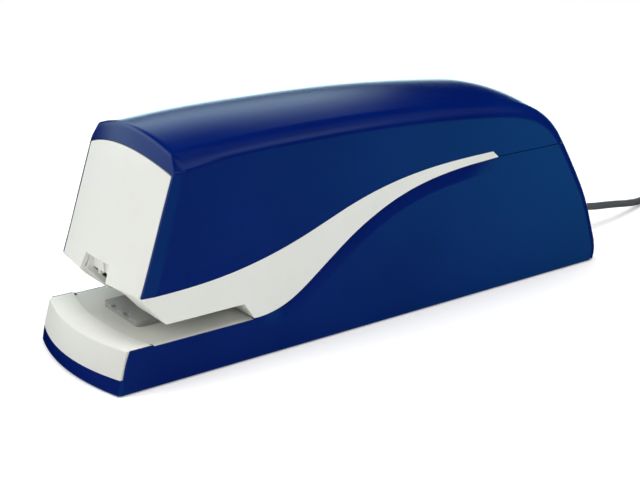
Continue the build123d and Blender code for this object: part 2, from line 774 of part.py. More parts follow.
with BuildPart() as power_transistor:
    block(-16, -2, 178, 182, board_top, board_top + 16)
    block(-13, -5, 182, 184.5, board_top, board_top + 12)
save(power_transistor, "power_transistor")

jack_bore = 2.8
plug_shoulder = side_length + 1.2
with BuildPart() as dc_jack:
    block(-jack_half + 0.1, jack_half - 0.1, 221, side_length - 0.6, board_top, jack_height + jack_half - 0.1)
    rod_y(0, 224, side_length + 5, jack_height, jack_bore, Mode.SUBTRACT)
save(dc_jack, "dc_jack")

# ---- screws and feet ----
with BuildPart() as case_screws:
    for x, station in screw_places:
        for side in (-1, 1):
            rod_z(side * x, station, 1.0, 2.0, 3.0)
            rod_z(side * x, station, 2.0, post_foot + 10, 1.5)
            with Locations((side * x, at(station), 1.0)):
                Box(4.0, 0.9, 0.8, mode=Mode.SUBTRACT)
save(case_screws, "case_screws")

with BuildPart() as chassis_screws:
    for x, station in chassis_screw_places:
        for side in (-1, 1):
            rod_z(side * x, station, 1.3, wall + plate_metal, 1.3)
            rod_z(side * x, station, wall + plate_metal, wall + plate_metal + 1.6, 2.6)
save(chassis_screws, "chassis_screws")

with BuildPart() as feet:
    for x, station in foot_places:
        for side in (-1, 1):
            rod_z(side * x, station, 0, case_bottom + foot_recess, foot_radius)
save(feet, "feet")

# ---- lead: plug, strain relief, tube, put-away coil, adapter ----
relief_start = 246.0
relief_end = 257.0
with BuildPart() as cord_plug:
    rod_y(0, 226, plug_shoulder + 1, jack_height, jack_bore - 0.05)
    rod_y(0, plug_shoulder + 1, relief_start, jack_height, 4.4)
    fillet(cord_plug.edges().filter_by(GeomType.CIRCLE).sort_by(Axis.Y)[-1:], 1.0)
save(cord_plug, "cord_plug")

with BuildPart() as cord_relief:
    with Locations(Location((0, at((relief_start + relief_end) / 2), jack_height), (-90, 0, 0))):
        Cone(2.9, lead_radius + 0.35, relief_end - relief_start)
    rod_y(0, relief_end - 3, relief_end + 1, jack_height, lead_radius, Mode.SUBTRACT)
save(cord_relief, "cord_relief")

lead_points = [(0.0, relief_end - 3.0, jack_height), (0.0, 264.0, 10.9), (-2.2, 283.0, 8.3),
               (-6.2, 300.0, 4.6), (-11.5, 316.0, lead_radius), (-16.8, 333.0, lead_radius),
               (-coil_radius, 350.0, lead_radius)]


def fillet_radii(points):
    radii = []
    for before, here, after in zip(points, points[1:], points[2:]):
        arriving = Vector(*here) - Vector(*before)
        leaving = Vector(*after) - Vector(*here)
        turn = radians(arriving.get_angle(leaving))
        radii.append(0.45 * min(arriving.length, leaving.length) / tan(turn / 2))
    return radii


route = [(x, at(y), z) for x, y, z in lead_points]
route_radii = fillet_radii(route)
print("lead radii", [round(r, 1) for r in route_radii])
with BuildPart() as cord:
    with BuildLine() as lead_path:
        FilletPolyline(*route, radius=route_radii)
    lead_wire = lead_path.wire()
    with BuildSketch(Plane(origin=lead_wire @ 0, z_dir=lead_wire % 0)):
        Circle(lead_radius)
    sweep(path=lead_wire)
tube_length = lead_wire.length
print("tube length", round(tube_length, 1), "volume ratio",
      round(cord.part.volume / (pi * lead_radius ** 2 * tube_length), 4))
save(cord, "cord")

turn_count = (lead_length - tube_length) / (2 * pi * coil_radius)
print("coil turns", round(turn_count, 2))
with BuildPart() as cord_coil:
    ring = lead_radius * coil_rows
    rod_z(coil_centre[0], coil_centre[1], 0, 2 * lead_radius * coil_layers, coil_radius + ring)
    rod_z(coil_centre[0], coil_centre[1], -1, 60, coil_radius - ring, Mode.SUBTRACT)
save(cord_coil, "cord_coil")

adapter_front = coil_centre[1] + 36.0
adapter_x = -coil_radius
adapter_length = 42.0
with BuildPart() as adapter_relief:
    with Locations(Location((adapter_x, at(adapter_front - 10), 14), (90, 0, 0))):
        Cone(3.6, lead_radius + 0.4, 20)
save(adapter_relief, "adapter_relief")

with BuildPart() as adapter:
    block(adapter_x - 15, adapter_x + 15, adapter_front, adapter_front + adapter_length, 0, 28)
    fillet(adapter.edges().filter_by(Axis.Y), 4.0)
    fillet(adapter.faces().filter_by(Axis.Y).edges(), 1.5)
save(adapter, "adapter")

with BuildPart() as adapter_pins:
    pin_start = adapter_front + adapter_length
    for side in (-1, 1):
        rod_y(adapter_x + side * 9.5, pin_start, pin_start + 19, 14, 2.0)
save(adapter_pins, "adapter_pins")

print("throw", round(throw, 4), "lever angle", round(degrees(driver_travel / nose_arm), 4),
      "idler", idler_centre, "motor", motor_centre)
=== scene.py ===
import bpy
import bmesh
import numpy as np
from math import cos, pi, radians, sin
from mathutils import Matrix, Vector


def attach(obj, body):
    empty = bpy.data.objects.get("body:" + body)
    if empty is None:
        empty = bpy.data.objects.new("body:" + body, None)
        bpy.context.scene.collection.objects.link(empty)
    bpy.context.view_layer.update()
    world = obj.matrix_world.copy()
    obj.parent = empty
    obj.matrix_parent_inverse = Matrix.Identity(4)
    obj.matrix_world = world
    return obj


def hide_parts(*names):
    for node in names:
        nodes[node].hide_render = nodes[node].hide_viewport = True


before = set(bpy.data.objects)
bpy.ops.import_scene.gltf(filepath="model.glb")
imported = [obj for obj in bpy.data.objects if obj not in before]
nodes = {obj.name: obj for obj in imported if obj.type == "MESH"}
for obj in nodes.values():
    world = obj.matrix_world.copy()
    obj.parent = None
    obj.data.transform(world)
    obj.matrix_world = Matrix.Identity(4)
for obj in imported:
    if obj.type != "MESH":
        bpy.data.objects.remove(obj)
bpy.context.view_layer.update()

mm = 0.001
originStation = 117.0  # the frame's origin, in millimetres behind the front corners


def place(x, station, z):
    return (x * mm, (station - originStation) * mm, z * mm)


# camera and studio sizes, in metres, degrees and millimetres of lens
studio = {
    "cameraPlace": (0.37717, -0.28528, 0.18714),
    "azimuth": 53.91,
    "elevation": 19.01,
    "lens": 69.9,
    "sensor": 36.0,
    "floorHalf": 4.0,
}


def makeCamera():
    data = bpy.data.cameras.new("studioCamera")
    data.lens = studio["lens"]
    data.sensor_width = studio["sensor"]
    data.clip_start, data.clip_end = 0.01, 50
    camera = bpy.data.objects.new("studioCamera", data)
    bpy.context.scene.collection.objects.link(camera)
    turn, tilt = radians(studio["azimuth"]), radians(studio["elevation"])
    ahead = Vector((-sin(turn) * cos(tilt), cos(turn) * cos(tilt), -sin(tilt)))
    camera.location = studio["cameraPlace"]
    camera.rotation_euler = ahead.to_track_quat("-Z", "Y").to_euler()
    bpy.context.scene.camera = camera


# rectangular lamp that lights but isn't mirrored
def softBox(name, at, towards, width, height, power):
    data = bpy.data.lights.new(name, "AREA")
    data.shape = "RECTANGLE"
    data.size, data.size_y = width, height
    data.energy = power
    lamp = bpy.data.objects.new(name, data)
    bpy.context.scene.collection.objects.link(lamp)
    lamp.visible_glossy = False
    lamp.location = at
    lamp.rotation_euler = (Vector(towards) - Vector(at)).to_track_quat("-Z", "Y").to_euler()


makeCamera()
print("camera set")


# one socket of a material's tree; + - * / on it add Math nodes
class Flow:
    def __init__(self, tree, socket):
        self.tree, self.socket = tree, socket

    # a node of any type: settings first, then a value or a link for each socket
    def make(self, kind, settings=None, sockets=None, out=0):
        node = self.tree.nodes.new("ShaderNode" + kind)
        for key, value in (settings or {}).items():
            if key == "stops":
                ramp = node.color_ramp.elements
                while len(ramp) < len(value):
                    ramp.new(0.5)
                for element, (spot, colour) in zip(ramp, value):
                    element.position, element.color = spot, colour
            else:
                setattr(node, key, value)
        for key, value in (sockets or {}).items():
            if isinstance(value, Flow):
                self.tree.links.new(value.socket, node.inputs[key])
            else:
                node.inputs[key].default_value = value
        return Flow(self.tree, node.outputs[out])

    def maths(self, operation, first, second=0.0):
        return self.make("Math", {"operation": operation}, {0: first, 1: second})

    def __add__(self, other):
        return self.maths("ADD", self, other)

    __radd__ = __add__

    def __sub__(self, other):
        return self.maths("SUBTRACT", self, other)

    def __rsub__(self, other):
        return self.maths("SUBTRACT", other, self)

    def __mul__(self, other):
        return self.maths("MULTIPLY", self, other)

    __rmul__ = __mul__

    def __truediv__(self, other):
        return self.maths("DIVIDE", self, other)

    # 0 below low, 1 above high, straight between
    def between(self, low, high):
        return self.make("MapRange", {"clamp": True}, {0: self, 1: low, 2: high, 3: 0.0, 4: 1.0})

    def axis(self, letter):
        return self.make("SeparateXYZ", None, {0: self}, "XYZ".index(letter))

    def noise(self, scale, detail=2.0, rough=0.5):
        sockets = {"Vector": self, "Scale": scale, "Detail": detail, "Roughness": rough}
        return self.make("TexNoise", None, sockets)

    def stretched(self, scale):
        return self.make("Mapping", None, {"Vector": self, "Scale": scale})

    def blend(self, first, second):
        return self.make("Mix", {"data_type": "RGBA"}, {0: self, 6: first, 7: second}, 2)


finishes = {}


# a material whose surface is worked out by a recipe that returns links for the shader's varying sockets
def makeFinish(name, colour, recipe, **still):
    material = bpy.data.materials.new(name)
    material.use_nodes = True
    tree = material.node_tree
    shader = tree.nodes["Principled BSDF"]
    material.diffuse_color = (*colour, 1)
    start = Flow(tree, tree.nodes.new("ShaderNodeTexCoord").outputs["Object"])
    shader.inputs["Base Color"].default_value = (*colour, 1)
    for key, value in still.items():
        shader.inputs[key.replace("_", " ")].default_value = value
    for key, value in recipe(start).items():
        tree.links.new(value.socket, shader.inputs[key])
    finishes[name] = material
    return material


def bump(start, height, strength, distance):
    return start.make("Bump", None, {"Height": height, "Strength": strength, "Distance": distance})


def rgb(r, g, b):
    return (r, g, b, 1)


cleanAndWorn = (0.84, 0.845, 0.8), (0.79, 0.785, 0.72)  # the white plastic's two tones


# moulded gloss plastic: colour drifts a little, rubbing marks dull the gloss, the skin has a slow ripple
def glossRecipe(deep, light):
    def recipe(p):
        drift = p.noise(18.0, 2.0)
        rubbed = p.stretched((220.0, 30.0, 160.0)).noise(1.0, 6.0, 0.65).between(0.56, 0.74)
        dust = p.noise(900.0, 2.0).between(0.62, 0.7)
        ripple = p.noise(75.0, 1.0)
        return {
            "Base Color": drift.between(0.35, 0.65).blend(rgb(*deep), rgb(*light)),
            "Roughness": 0.19 + rubbed * 0.05 + dust * 0.03 + drift * 0.05,
            "Normal": bump(p, ripple, 0.06, 0.0006),
        }
    return recipe


# satin plastic: spark-eroded grain, slow yellowing, dirt in the grain
def satinRecipe(clean, worn, grain=2600.0, dullest=0.42, depth=0.00003):
    def recipe(p):
        grains = p.noise(grain, 3.0, 0.6)
        drift = p.noise(24.0, 3.0)
        rubbed = p.noise(160.0, 4.0, 0.6).between(0.55, 0.75)
        return {
            "Base Color": (drift.between(0.3, 0.75) * 0.7 + rubbed * 0.3).blend(rgb(*clean), rgb(*worn)),
            "Roughness": dullest - rubbed * 0.08 + grains * 0.06,
            "Normal": bump(p, grains, 0.35, depth),
        }
    return recipe


# the paper deck: satin plastic, its sunk part darkened in colour as painted shade
def deckRecipe(p):
    links = satinRecipe(*cleanAndWorn)(p)
    # mask of the sunk part: its colour is darkened towards grey as painted shade
    sunk = 1 - p.axis("Z").between(0.01535, 0.01575)
    links["Base Color"] = (sunk * 0.16).blend(links["Base Color"], rgb(0.25, 0.25, 0.24))
    return links


# plated or bare metal: fine drawn lines along one axis, faint stains
def metalRecipe(bright, dull, lines, gloss=0.24):
    def recipe(p):
        drawn = p.stretched(lines).noise(1.0, 4.0, 0.6)
        stain = p.noise(60.0, 4.0, 0.6).between(0.42, 0.7)
        return {
            "Base Color": (stain * 0.7 + drawn * 0.3).blend(rgb(*bright), rgb(*dull)),
            "Roughness": gloss + drawn * 0.14 + stain * 0.1,
            "Normal": bump(p, drawn, 0.25, 0.00002),
        }
    return recipe


# soldered board: copper runs under green lacquer, pads and a drilled grid
def boardRecipe(p):
    runs = p.make("TexBrick", {"offset": 0.37}, {
        "Vector": p, "Scale": 140.0, "Mortar Size": 0.055, "Brick Width": 1.3, "Row Height": 0.42}, 1)
    pads = p.make("TexVoronoi", {"feature": "F1"}, {"Vector": p, "Scale": 330.0}).between(0.24, 0.30)
    pad = (1 - pads) * p.noise(90.0).between(0.5, 0.56)
    lacquer = runs.blend(rgb(0.008, 0.085, 0.03), rgb(0.02, 0.16, 0.055))
    return {
        "Base Color": pad.blend(lacquer, rgb(0.62, 0.6, 0.56)),
        "Metallic": pad * 0.9,
        "Roughness": 0.3 + p.noise(400.0) * 0.12 + pad * 0.08,
        "Normal": bump(p, runs * 0.5 + pad, 0.5, 0.00006),
    }


# sleeve with a pale stripe up one side and a scored, bare top
def sleeveRecipe(p):
    stripe = p.axis("Y").between(0.0785, 0.0788) - p.axis("Y").between(0.0806, 0.0809)
    top = p.axis("Z").between(0.0284, 0.02855)
    scored = p.noise(500.0, 2.0)
    side = stripe.blend(rgb(0.012, 0.02, 0.05), rgb(0.55, 0.57, 0.6))
    return {
        "Base Color": top.blend(side, rgb(0.6, 0.6, 0.6)),
        "Metallic": top * 0.9,
        "Roughness": 0.28 + scored * 0.14,
        "Normal": bump(p, scored, 0.3, 0.00004),
    }


# stick of wires glued side by side: one groove each half millimetre along the stick, its colour darkened in the
# grooves as painted shade
def stickRecipe(p):
    wires = p.make("TexWave", {"wave_type": "BANDS", "bands_direction": "Y", "wave_profile": "SIN"},
                   {"Vector": p, "Scale": 628.0})
    stain = p.noise(220.0, 3.0).between(0.4, 0.7)
    return {
        # colour: stains, plus painted shade darkening each groove between wires
        "Base Color": (stain * 0.6 + (1 - wires) * 0.4).blend(rgb(0.72, 0.72, 0.73), rgb(0.38, 0.39, 0.41)),
        "Roughness": 0.26 + stain * 0.16,
        "Normal": bump(p, wires, 0.8, 0.00015),
    }


# flexible lead sleeve: fine mould grain and a few scuffs
def leadRecipe(p):
    grain = p.noise(1800.0, 2.0)
    scuffs = p.noise(90.0, 4.0, 0.7).between(0.55, 0.7)
    return {
        "Base Color": (scuffs * 0.6 + grain * 0.4).blend(rgb(0.07, 0.07, 0.072), rgb(0.13, 0.13, 0.132)),
        "Roughness": 0.42 + scuffs * 0.12 + grain * 0.05,
        "Normal": bump(p, grain, 0.3, 0.00004),
    }


makeFinish("blueShell", (0.0, 0.012, 0.13), glossRecipe((0.0, 0.0085, 0.114), (0.0, 0.0115, 0.134)),
           Coat_Weight=0.08, Coat_Roughness=0.08, Specular_IOR_Level=0.16)
makeFinish("whitePlastic", (0.82, 0.83, 0.78), satinRecipe(*cleanAndWorn))
makeFinish("deckPlastic", (0.82, 0.83, 0.78), deckRecipe)
makeFinish("greyAnvil", (0.4, 0.4, 0.4),
           metalRecipe((0.42, 0.42, 0.41), (0.34, 0.34, 0.335), (500.0, 500.0, 4000.0), 0.38), Metallic=0.1)
makeFinish("guidePlastic", (0.05, 0.05, 0.055),
           satinRecipe((0.045, 0.047, 0.052), (0.07, 0.07, 0.072), 1400.0, 0.5))
makeFinish("platedSteel", (0.6, 0.61, 0.63),
           metalRecipe((0.62, 0.63, 0.65), (0.42, 0.43, 0.45), (300.0, 40.0, 2600.0)), Metallic=1.0)
makeFinish("springSteel", (0.45, 0.45, 0.47),
           metalRecipe((0.5, 0.5, 0.52), (0.3, 0.3, 0.32), (900.0, 900.0, 900.0), 0.2), Metallic=1.0)
makeFinish("stapleWire", (0.7, 0.7, 0.72), stickRecipe, Metallic=1.0)
makeFinish("gearNylon", (0.75, 0.73, 0.66), satinRecipe((0.78, 0.76, 0.69), (0.66, 0.63, 0.53), 900.0, 0.36),
           Subsurface_Weight=0.15, Subsurface_Scale=0.002)
makeFinish("brassPinion", (0.72, 0.5, 0.2),
           metalRecipe((0.76, 0.54, 0.22), (0.5, 0.33, 0.13), (2400.0, 500.0, 500.0), 0.22), Metallic=1.0)
makeFinish("motorCan", (0.55, 0.55, 0.56),
           metalRecipe((0.58, 0.58, 0.59), (0.4, 0.4, 0.41), (150.0, 900.0, 900.0), 0.33), Metallic=1.0)
makeFinish("screwSteel", (0.3, 0.3, 0.31),
           metalRecipe((0.34, 0.34, 0.35), (0.16, 0.16, 0.17), (700.0, 700.0, 700.0), 0.3), Metallic=1.0)
makeFinish("boardGreen", (0.01, 0.1, 0.035), boardRecipe)
makeFinish("capacitorSleeve", (0.012, 0.02, 0.05), sleeveRecipe)
makeFinish("blackPlastic", (0.015, 0.015, 0.017),
           satinRecipe((0.014, 0.014, 0.016), (0.03, 0.03, 0.031), 1600.0, 0.4))
makeFinish("footRubber", (0.02, 0.02, 0.02),
           satinRecipe((0.018, 0.018, 0.018), (0.045, 0.044, 0.042), 1100.0, 0.72, 0.00008))
makeFinish("leadGrey", (0.16, 0.165, 0.175), leadRecipe)
print("finishes made", len(finishes))

slotFinish = {
    "blue_shell": "blueShell", "white_plastic": "whitePlastic", "guide_plastic": "guidePlastic",
    "steel": "platedSteel", "spring_steel": "springSteel", "staple_wire": "stapleWire",
    "gear_nylon": "gearNylon", "brass": "brassPinion",
    "motor_can": "motorCan", "screw_steel": "screwSteel", "board_green": "boardGreen",
    "capacitor_sleeve": "capacitorSleeve", "black_plastic": "blackPlastic", "foot_rubber": "footRubber",
    "lead_grey": "leadGrey",
}
for name, node in nodes.items():
    for seat in node.material_slots:
        slotName = seat.material.name.split(".")[0]
        if slotName not in slotFinish:
            print("no finish for", name, seat.material.name)
        else:
            seat.material = finishes[slotFinish[slotName]]


# lead in millimetres: laid out behind the case, then coiled in rows and layers, up to the adapter
lead = {
    "radius": 1.75,
    "length": 1.5,
    "exit": (0.0, 254.0, 13.0),
    "route": [(0.0, 254.0, 13.0), (0.0, 264.0, 10.9), (-2.2, 283.0, 8.3), (-6.2, 300.0, 4.6),
              (-11.5, 316.0, 1.75), (-18.0, 333.0, 1.75)],
    "coilMiddle": (0.0, 352.0),
    "coilRadius": 18.35,
    "rows": 3,
    "layers": 4,
    "stepsPerTurn": 16,
    "reliefStart": (-18.35, 370.0, 14.0),
}


def makeLead():
    spots = [place(*p) for p in lead["route"]]
    pitch = 2 * lead["radius"]
    turns = lead["rows"] * lead["layers"]
    steps = turns * lead["stepsPerTurn"]
    midX, midStation = lead["coilMiddle"]
    for k in range(steps + 1):
        turn = k / lead["stepsPerTurn"]
        layer = min(int(turn // lead["rows"]), lead["layers"] - 1)
        inLayer = turn - layer * lead["rows"]
        whole = min(int(inLayer), lead["rows"] - 1)
        ease = min(max((inLayer - whole - 0.8) / 0.2, 0.0), 1.0)
        row = min(whole + ease, lead["rows"] - 1)  # 0 is the outer row on even layers
        row = row if layer % 2 == 0 else lead["rows"] - 1 - row
        radius = lead["coilRadius"] + pitch * ((lead["rows"] - 1) / 2 - row)
        lift = min(max((inLayer - lead["rows"] + 0.15) / 0.15, 0.0), 1.0) if layer < lead["layers"] - 1 else 0.0
        height = lead["radius"] + pitch * (layer + lift)
        angle = pi - 2 * pi * turn
        spots.append(place(midX + radius * cos(angle), midStation + radius * sin(angle), height))
    endX, endStation, endHeight = lead["reliefStart"]
    spots += [place(endX - 2.4, endStation - 12, endHeight - 1.2), place(endX - 0.4, endStation - 5, endHeight),
              place(endX, endStation, endHeight)]
    curve = bpy.data.curves.new("leadTube", "CURVE")
    curve.dimensions = "3D"
    curve.bevel_depth = lead["radius"] * mm
    curve.bevel_resolution = 4
    curve.resolution_u = 6
    curve.use_fill_caps = True
    spline = curve.splines.new("NURBS")
    spline.points.add(len(spots) - 1)
    spline.points.foreach_set("co", np.hstack([np.array(spots), np.ones((len(spots), 1))]).ravel())
    spline.order_u = 3
    spline.use_endpoint_u = True
    tube = bpy.data.objects.new("leadTube", curve)
    bpy.context.scene.collection.objects.link(tube)
    curve.materials.append(finishes["leadGrey"])
    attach(tube, "housing")
    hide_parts("cord", "cord_coil")
    return tube


leadTube = makeLead()
place(*lead["exit"])
print("lead laid")


# outer form: stations (distance behind the front corners) and heights in millimetres, front foot first, clockwise
form = {
    "half": 31.0,
    "wall": 2.2,
    "frontSide": [(0.2, 0), (1.5, 5.9), (4.5, 15.9), (11, 33.1), (18.9, 56.05), (26.8, 79)],
    "frontMiddle": [(-4.56, 0), (-4.3, 5.9), (-1, 15.9), (7.2, 33.1), (16.25, 59), (25.3, 84.9)],
    "topSide": [(26.8, 79), (50, 80.6), (75, 81.2), (100, 81.2), (140, 79.8), (167, 77.6), (183, 75.3)],
    "crown": 5.9,
    "rearSide": [(193, 72.4), (201, 68), (206.5, 63.2), (211.3, 57), (218.2, 46.5), (228.6, 27.9),
                 (233.8, 14), (236, 2.5), (235.4, 0)],
    "rearOut": [(1, 5.3), (2.2, 4.6), (3, 3.6), (3.3, 2.8), (3, 1.8), (2.6, 0.8), (2.4, 0.3),
                (2.4, 0), (2.4, 0)],
    # heights, and how far the front corners lie behind the face there
    "setback": [(0, 1.0), (5.9, 0.6), (15.9, 0.5), (33.1, 5.0), (56, 4.1), (79, 2.8)],
    "faceEdge": 0.6,
    "plateEdge": 29.55,
    "shoulder": 4.5,
    "bandUpper": [(10.2, 33.1), (25.2, 33.3), (42.5, 34.6), (60.7, 37.9), (79.6, 43.5), (99.3, 50.6),
                  (119.8, 55.8), (141.3, 58.5), (169.3, 59.5)],
    "bandLower": [(55, 15.9), (62.2, 16.4), (69.8, 18.8), (79.5, 24.6), (89.4, 31.8), (99.4, 38.7),
                  (109.6, 44.4), (120, 48.9), (130.6, 52.1), (152.7, 55.6), (172.4, 56.8)],
    "parting": 57.1,
    "gap": 0.3,
    "deck": 15.9,
    "deckStep": 0.6,
    "stepAtSide": 13.6,
    "lip": 5.9,
    "bottom": 0.5,
    "scoopWidth": 5.6,
    "scoopDepth": 1.15,
    "scoopEnds": ((57, 72), (150, 173)),
    "plateShoulder": 73.45,
    "plateCrown": 78.15,
    "plateFoot": 33.12,
    "bandTip": 169.3,
    "bandEnd": 172.4,
    "roundEnd": 46.0,
    "noseBlend": 52.0,
}


# natural cubic through points at given knots: a four-term cubic on each interval, its second derivatives
# from a linear system
def cubicLine(points, knots, at):
    p, h = np.array(points, float), np.diff(knots)
    count = len(p)
    system, right = np.eye(count), np.zeros_like(p)
    inner = np.arange(1, count - 1)
    system[inner, inner - 1], system[inner, inner + 1] = h[:-1], h[1:]
    system[inner, inner] = 2 * (h[:-1] + h[1:])
    slope = np.diff(p, axis=0) / h[:, None]
    right[1:-1] = 6 * np.diff(slope, axis=0)
    bend = np.linalg.solve(system, right)
    k = np.clip(np.searchsorted(knots, at, side="right") - 1, 0, count - 2)
    left, rest, span = (at - knots[k])[:, None], (knots[k + 1] - at)[:, None], h[k][:, None]
    return (bend[k] * rest ** 3 + bend[k + 1] * left ** 3) / (6 * span) + (
        p[k] / span - bend[k] * span / 6) * rest + (p[k + 1] / span - bend[k + 1] * span / 6) * left


def chords(points):
    p = np.array(points, float)
    return np.concatenate([[0], np.cumsum(np.linalg.norm(np.diff(p, axis=0), axis=1))])


def smoothStep(value, low, high):
    t = np.clip((value - low) / (high - low), 0, 1)
    return t * t * (3 - 2 * t)


edgeSteps, midSteps = 8, 28  # columns across each edge band and across the middle
denseFront, denseTop = 260, 900  # rows up the front, and over the roof to the rear foot


# the whole skin as a dense grid: row s runs front foot, crest, rear foot; column c runs x from -31 to 31.
# P(s, x) = side(s) + (middle(s) - side(s)) (1 - (x/31)^2) + V(s) f(q), q being 0 to 1 across the edge band
def outerSkin():
    rearMiddle = [(y + out, z + up) for (y, z), (out, up) in zip(form["rearSide"], form["rearOut"])]
    topMiddle = [(y, z + form["crown"]) for y, z in form["topSide"][1:]]
    sideTop = form["topSide"] + form["rearSide"]
    middleTop = [form["frontMiddle"][-1]] + topMiddle + rearMiddle
    frontKnots, topKnots = chords(form["frontSide"]), chords(sideTop)
    sFront = np.linspace(0, frontKnots[-1], denseFront)
    sTop = np.linspace(0, topKnots[-1], denseTop)[1:]
    side = np.vstack([cubicLine(form["frontSide"], frontKnots, sFront), cubicLine(sideTop, topKnots, sTop)])
    middle = np.vstack([cubicLine(form["frontMiddle"], frontKnots, sFront), cubicLine(middleTop, topKnots, sTop)])
    crest = denseFront - 1
    rows = np.arange(len(side))
    tangent = np.vstack([np.gradient(side[:crest + 1], axis=0), np.gradient(side[crest:], axis=0)[1:]])
    tangent /= np.linalg.norm(tangent, axis=1)[:, None]
    normal = np.column_stack([-tangent[:, 1], tangent[:, 0]])
    heights, backs = np.array(form["setback"]).T
    back = np.interp(side[:, 1], heights, backs)
    back = np.convolve(np.pad(back, 20, "edge"), np.ones(41) / 41, "valid")
    shoulder = form["shoulder"]
    topMove = -normal * shoulder
    topMove[:, 0] += backs[-1] * (1 - smoothStep(side[:, 0], form["frontSide"][-1][0], form["noseBlend"]))
    rise = smoothStep(side[:, 1], form["plateShoulder"] + 0.3, form["frontSide"][-1][1])[:, None]
    frontMove = np.column_stack([back, 0 * back]) * (1 - rise) + topMove[crest + 1] * rise
    isFront = (rows <= crest)[:, None]
    move = np.where(isFront, frontMove, topMove)
    behindCrest = smoothStep(side[:, 0], 26.4, form["roundEnd"])
    rounded = np.where(rows <= crest, rise[:, 0] * 0.55, 0.55 + 0.45 * behindCrest)
    width = np.where(rows <= crest, form["faceEdge"] + (shoulder - form["faceEdge"]) * rise[:, 0], shoulder)
    angle = np.linspace(0, pi / 2, edgeSteps + 1)
    roundAcross, roundIn = np.sin(angle), 1 - np.cos(angle)
    facetAcross = np.array([0, 0.04, 0.1, 0.2, 0.32, 0.48, 0.65, 0.82, 1.0])
    facetIn = np.array([0, 0.01, 0.06, 0.17, 0.3, 0.46, 0.63, 0.81, 1.0])
    mix = rounded[:, None]
    across = facetAcross * (1 - mix) + roundAcross * mix
    fall = facetIn * (1 - mix) + roundIn * mix
    half = form["half"]
    flat = (half - width)[:, None]
    xEdge = flat + width[:, None] * across
    nearPlate = form["plateEdge"] / (half - form["faceEdge"])
    inside = np.linspace(-0.9, 0.9, midSteps - 3)
    xMid = flat * np.concatenate([[-1, -nearPlate], inside, [nearPlate, 1]])
    x = np.hstack([-xEdge[:, :0:-1], xMid, xEdge[:, 1:]])
    inward = np.hstack([fall[:, :0:-1], 0 * xMid, fall[:, 1:]])
    share = 1 - (x / half) ** 2
    spot = side[:, None] + (middle - side)[:, None] * share[..., None] + move[:, None] * inward[..., None]
    near = np.exp(-((rows - crest) / 7.0) ** 2)[:, None, None]
    for _ in range(10):  # rounds the crest
        eased = spot.copy()
        eased[1:-1] = (spot[:-2] + 2 * spot[1:-1] + spot[2:]) / 4
        spot = spot * (1 - near) + eased * near
    return np.dstack([x, spot]), crest


# rows of the dense grid between two row numbers given for each column, resampled straight
def cutRows(dense, start, end, steps):
    start, end = np.broadcast_to(start, dense.shape[1]), np.broadcast_to(end, dense.shape[1])
    at = start + (end - start) * np.linspace(0, 1, steps + 1)[:, None]
    low = np.clip(at.astype(int), 0, len(dense) - 2)
    part = (at - low)[..., None]
    columns = np.arange(dense.shape[1])
    return dense[low, columns] * (1 - part) + dense[low + 1, columns] * part


# row number at which each column passes a height, looking only between two rows
def rowAt(dense, height, first, last, rising):
    height = np.broadcast_to(height, dense.shape[1])
    found = np.empty(dense.shape[1])
    z = dense[first:last + 1, :, 2]
    steps = np.arange(first, last + 1)
    for c in range(dense.shape[1]):
        line = z[:, c] if rising else z[::-1, c]
        found[c] = np.interp(height[c], np.maximum.accumulate(line), steps if rising else steps[::-1])
    return found


bodyMiddle = (0, 0, 0.02)  # every outer face looks away from here


# joins grids of points (rows, columns, 3) into one mesh in metres, welding what coincides
def meshOf(name, grids, finish="blueShell"):
    points, faces, flat = [], [], 0
    for grid in grids:
        rows, columns = grid.shape[:2]
        index = flat + np.arange(rows * columns).reshape(rows, columns)
        quads = np.dstack([index[:-1, :-1], index[:-1, 1:], index[1:, 1:], index[1:, :-1]]).reshape(-1, 4)
        faces.append(quads)
        points.append(grid.reshape(-1, 3))
        flat += rows * columns
    spots = np.vstack(points)
    spots = np.column_stack([spots[:, 0], spots[:, 1] - originStation, spots[:, 2]]) * mm
    mesh = bpy.data.meshes.new(name)
    mesh.from_pydata(spots.tolist(), [], np.vstack(faces).tolist())
    weld = bmesh.new()
    weld.from_mesh(mesh)
    bmesh.ops.remove_doubles(weld, verts=weld.verts, dist=2e-5)
    bmesh.ops.dissolve_degenerate(weld, edges=weld.edges, dist=1e-6)
    for face in weld.faces:
        if face.normal.dot(face.calc_center_median() - Vector(bodyMiddle)) < 0:
            face.normal_flip()
    weld.to_mesh(mesh)
    weld.free()
    mesh.materials.append(finishes[finish])
    thing = bpy.data.objects.new(name, mesh)
    bpy.context.scene.collection.objects.link(thing)
    return thing


# gives a skin a wall on its inner side and eased rims, and shades it by angle
def thicken(thing, wall, ease=0.35):
    if wall:
        solid = thing.modifiers.new("wall", "SOLIDIFY")
        solid.thickness, solid.offset = wall * mm, -1
        solid.use_even_offset = False
    if ease:
        soft = thing.modifiers.new("ease", "BEVEL")
        soft.width, soft.segments = ease * mm, 2
        soft.limit_method, soft.angle_limit = "ANGLE", radians(50)
        soft.use_clamp_overlap = True
    shadeByAngle(thing)
    return thing


def shadeByAngle(thing, limit=38):
    thing.data.shade_smooth()
    edge = thing.modifiers.new("tidyNormals", "WEIGHTED_NORMAL")
    edge.keep_sharp = True
    sharpen = bmesh.new()
    sharpen.from_mesh(thing.data)
    for line in sharpen.edges:
        if len(line.link_faces) == 2 and line.calc_face_angle(0) > radians(limit):
            line.smooth = False
    sharpen.to_mesh(thing.data)
    sharpen.free()


dense, crestRow = outerSkin()
lastRow = len(dense) - 1
columnCount = dense.shape[1]
faceLeft, faceRight = edgeSteps + 1, edgeSteps + midSteps - 1


# height on the sides' flat of the case's cut lines, for each station
def cutHeight(points, station):
    knots = chords(points)
    line = cubicLine(points, knots, np.linspace(0, knots[-1], 600))
    return np.interp(station, line[:, 0], line[:, 1])


